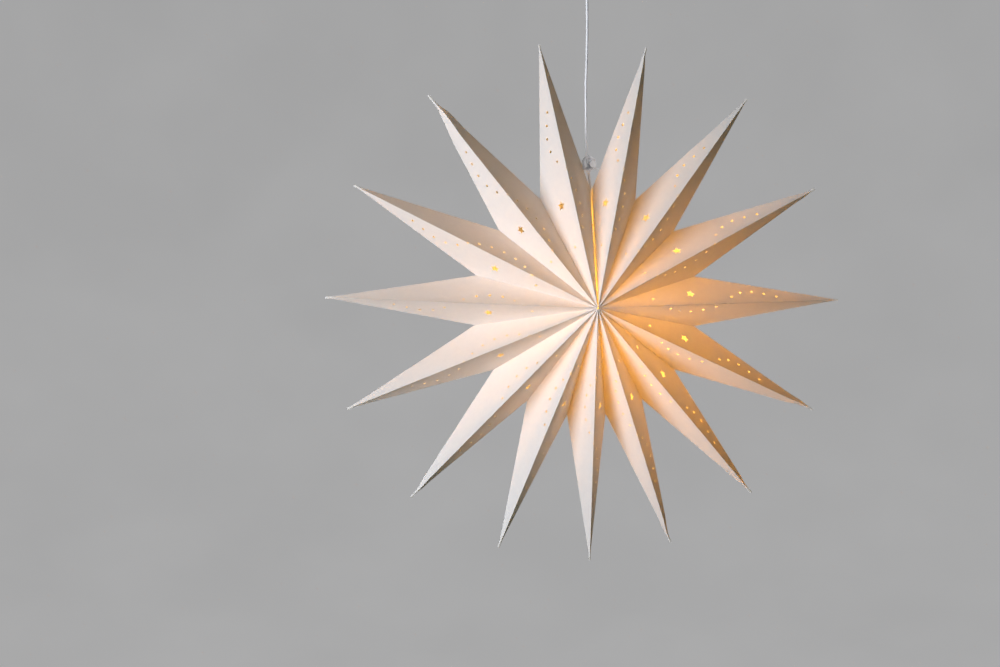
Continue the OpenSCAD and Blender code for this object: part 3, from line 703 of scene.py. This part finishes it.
def merge(verts, faces):
    """Joins vertices that lie in one place."""
    seen, index, kept = {}, [], []
    for v in verts:
        key = tuple(int(math.floor(c / SAME_PLACE + 0.5)) for c in v)
        cells = (tuple(a + b for a, b in zip(key, step))
                 for step in itertools.product((0, -1, 1), repeat=3))
        found = next((seen[cell] for cell in cells if cell in seen), None)
        if found is None:
            found = len(kept)
            seen[key] = found
            kept.append(np.array(v, float))
        index.append(found)
    joined = [tuple(index[i] for i in f) for f in faces]
    return kept, [f for f in joined if len(set(f)) == len(f)]


SAME_WAY = 0.94         # cosine above which two faces at a vertex count as one
MITRE_LIMIT = 2.6       # how far an inner vertex may move, in thicknesses
WEAK_WAY = 0.2          # a direction with a smaller share than this of the strongest is left out
NO_AREA = 1e-14


def thicken(verts, faces, depth):
    """Gives a sheet an inner side and closes its edges."""
    # at each vertex, the area-weighted normals of the surfaces that meet there
    normals = [[] for _ in verts]
    for f in faces:
        a, b, c = (verts[i] for i in f)
        n = np.cross(b - a, c - a)
        size = np.linalg.norm(n)
        if size < NO_AREA:
            continue
        n = n / size
        for i in f:
            for total in normals[i]:
                if total @ n / np.linalg.norm(total) > SAME_WAY:
                    total += n * size
                    break
            else:
                normals[i].append(n * size)
    inner = []
    for v, group in zip(verts, normals):
        rows = np.array([total / np.linalg.norm(total) for total in group])
        move = np.linalg.lstsq(rows, -depth * np.ones(len(rows)), rcond=WEAK_WAY)[0]
        size = np.linalg.norm(move)
        if size > MITRE_LIMIT * depth:
            move *= MITRE_LIMIT * depth / size
        inner.append(v + move)
    count = len(verts)
    edges = {(a, b): None for f in faces for a, b in zip(f, f[1:] + f[:1])}
    out = list(faces) + [tuple(i + count for i in reversed(f)) for f in faces]
    for a, b in edges:
        if (b, a) not in edges:
            out += [(b, a, a + count), (b, a + count, b + count)]
    return list(verts) + inner, out


RANDOM_START = 400
SHARP_DEG = 32.0


def make_point(k):
    rng = random.Random(RANDOM_START + k)
    verts, faces = [], []
    for face, side in itertools.product((-1, 1), repeat=2):
        quarter = Quarter(k, side, face)
        sheet_verts, sheet_faces, line = quarter.sheet(rng)
        base = len(verts)
        verts += sheet_verts
        faces += [tuple(base + i for i in t) for t in sheet_faces]
        near = len(verts)
        verts += flap(quarter, [sheet_verts[i] for i in line])
        for i in range(len(line) - 1):
            quad = (base + line[i], base + line[i + 1], near + i + 1, near + i)
            if side * face > 0:
                quad = tuple(reversed(quad))
            faces += [quad[:3], (quad[0], quad[2], quad[3])]
    verts, faces = merge(verts, faces)
    verts, faces = thicken(verts, faces, SHEET)
    name = f"paper_point_{k:02d}"
    mesh = bpy.data.meshes.new(name)
    mesh.from_pydata([tuple(v + np.array(CENTRE)) for v in verts], [], faces)
    mesh.validate()
    mesh.shade_smooth()
    mesh.set_sharp_from_angle(angle=math.radians(SHARP_DEG))
    stand_in(name, mesh, "paper", "star", f"point_{k:02d}")


for k in range(1, POINTS + 1):
    make_point(k)

# ---------------------------------------------------------------- floor and backdrop
FLOOR_Z, WALL_TOP_Z = -2.4, 7.0
WALL_R, WALL_BEND_R = 9.0, 3.0
FLOOR_HUB_R = 0.6
STAGE_SIDES, BEND_STEPS = 96, 16


def make_stage():
    """A pale floor that curves up into a plain wall all round."""
    n = Material("stage")
    cloud = n.noise(2.0, 3.0)
    pale = n.ramp(cloud, (0.83, 0.83, 0.835), (0.87, 0.87, 0.875))
    dim = n.add("ShaderNodeBsdfDiffuse", {"Color": (0.2, 0.2, 0.2, 1)}).outputs[0]
    lit = n.add("ShaderNodeBsdfDiffuse", {"Color": pale}).outputs[0]
    base = n.add("ShaderNodeEmission", {"Color": pale, "Strength": 0.4}).outputs[0]
    both = n.add("ShaderNodeAddShader", {0: lit, 1: base}).outputs[0]
    mix = {"Fac": n.background_rays(), 1: dim, 2: both}
    material = n.finish(n.add("ShaderNodeMixShader", mix).outputs[0])
    flat_r, turns = WALL_R - WALL_BEND_R, np.linspace(0, math.pi / 2, BEND_STEPS + 1)[1:]
    profile = [(FLOOR_HUB_R, FLOOR_Z), (flat_r, FLOOR_Z)]
    profile += [(flat_r + WALL_BEND_R * math.sin(t),
                 FLOOR_Z + WALL_BEND_R - WALL_BEND_R * math.cos(t)) for t in turns]
    profile.append((WALL_R, WALL_TOP_Z))
    around = np.linspace(0, 2 * math.pi, STAGE_SIDES + 1)[:-1]
    verts = [(0.0, 0.0, FLOOR_Z)]
    verts += [(r * math.cos(a), r * math.sin(a), z) for r, z in profile for a in around]
    pairs = [(i, (i + 1) % STAGE_SIDES) for i in range(STAGE_SIDES)]
    faces = [(0, 1 + i, 1 + j) for i, j in pairs]
    for ring in range(len(profile) - 1):
        near, far = 1 + ring * STAGE_SIDES, 1 + (ring + 1) * STAGE_SIDES
        faces += [(near + i, far + i, far + j, near + j) for i, j in pairs]
    mesh = bpy.data.meshes.new("stage")
    mesh.from_pydata(verts, [], faces)
    mesh.shade_smooth()
    mesh.materials.append(material)
    stage = bpy.data.objects.new("stage", mesh)
    scene.collection.objects.link(stage)
    return stage


def group_of(name, pieces):
    """A collection for the lamps that light these pieces alone."""
    group = bpy.data.collections.new(name)
    for piece in pieces:
        group.objects.link(piece)
    return group


stage = make_stage()
shapes = [o for o in scene.objects if o.type in ("MESH", "CURVE") and o != stage]
lantern = group_of("lantern", shapes)
ground = group_of("ground", [stage])

# ---------------------------------------------------------------- lights
WHITE = (1.0, 1.0, 1.0)
OVERHEAD = (0.0, -0.001, 3.2)
WORLD_COLOUR = (0.98, 0.98, 1.0, 1)
WORLD_LIGHT, WORLD_SEEN = 0.01, 0.35
GLOW_R = 0.012
GLOW_SPREAD = math.radians(172)


def add_lamp(data, at, aim, receivers):
    """Puts up a lamp that shines along aim and lights the receivers alone."""
    lamp = bpy.data.objects.new(data.name, data)
    scene.collection.objects.link(lamp)
    lamp.location = at
    lamp.rotation_mode = "QUATERNION"
    lamp.rotation_quaternion = Vector(aim).to_track_quat("-Z", "Y")
    lamp.light_linking.receiver_collection = receivers
    return lamp


def soft_lamp(name, at, target, size, power, colour, receivers):
    data = bpy.data.lights.new(name, "AREA")
    data.shape, data.size, data.energy, data.color = "DISK", size, power, colour
    lamp = add_lamp(data, at, Vector(target) - Vector(at), receivers)
    lamp.visible_camera = False


def glow_lamp(name, kind, at, aim, power, colour):
    """The bulb's light, with no falloff because white sheets pass it on from one to the next."""
    data = bpy.data.lights.new(name, kind)
    data.energy, data.color, data.shadow_soft_size = power, colour, GLOW_R
    if kind == "SPOT":
        data.spot_size, data.spot_blend = GLOW_SPREAD, 1.0
    data.use_nodes = True
    tree = data.node_tree
    fall = Nodes(tree).add("ShaderNodeLightFalloff", {"Strength": 1.0})
    tree.links.new(fall.outputs["Constant"], tree.nodes["Emission"].inputs["Strength"])
    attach(add_lamp(data, at, aim, lantern), "bulb")


def make_world():
    """A faint all-round light that looks pale where it is seen."""
    world = bpy.data.worlds.new("world")
    world.use_nodes = True
    sky = Nodes(world.node_tree)
    shown = sky.math("MULTIPLY", sky.background_rays(), WORLD_SEEN)
    background = sky.tree.nodes["Background"]
    background.inputs["Color"].default_value = WORLD_COLOUR
    strength = sky.math("ADD", shown, WORLD_LIGHT)
    sky.tree.links.new(strength, background.inputs["Strength"])
    scene.world = world


soft_lamp("key", (-1.226, -1.028, -0.425), CENTRE, 0.9, 27.0, (0.9, 0.93, 1.0), lantern)
soft_lamp("fill", (0.3, -2.5, 0.2), CENTRE, 1.0, 3.2, WHITE, lantern)
soft_lamp("rear", (0.75, 1.6, -0.425), CENTRE, 0.6, 9.0, (0.98, 0.98, 1.0), lantern)
soft_lamp("top", OVERHEAD, CENTRE, 1.5, 9.0, WHITE, lantern)
soft_lamp("backdrop", OVERHEAD, (0.0, 0.0, FLOOR_Z), 1.5, 90.0, WHITE, ground)
make_world()
DOWN, RIGHT_AND_OUT = (0, 0, -1), (1.0, -0.6, -0.4)
glow_lamp("glow_all_round", "POINT", (0.04, -0.018, -0.45), DOWN, 105.0, (1.0, 0.44, 0.04))
glow_lamp("glow_right", "SPOT", (0.0, -0.005, -0.435), RIGHT_AND_OUT, 120.0, (1.0, 0.4, 0.03))
# the bulb's own pieces don't shade the light that stands for it
for name in ("bulb_glass", "bulb_stem", "filament"):
    frame["nodes"][name].visible_shadow = False

scene.view_settings.view_transform = "Standard"
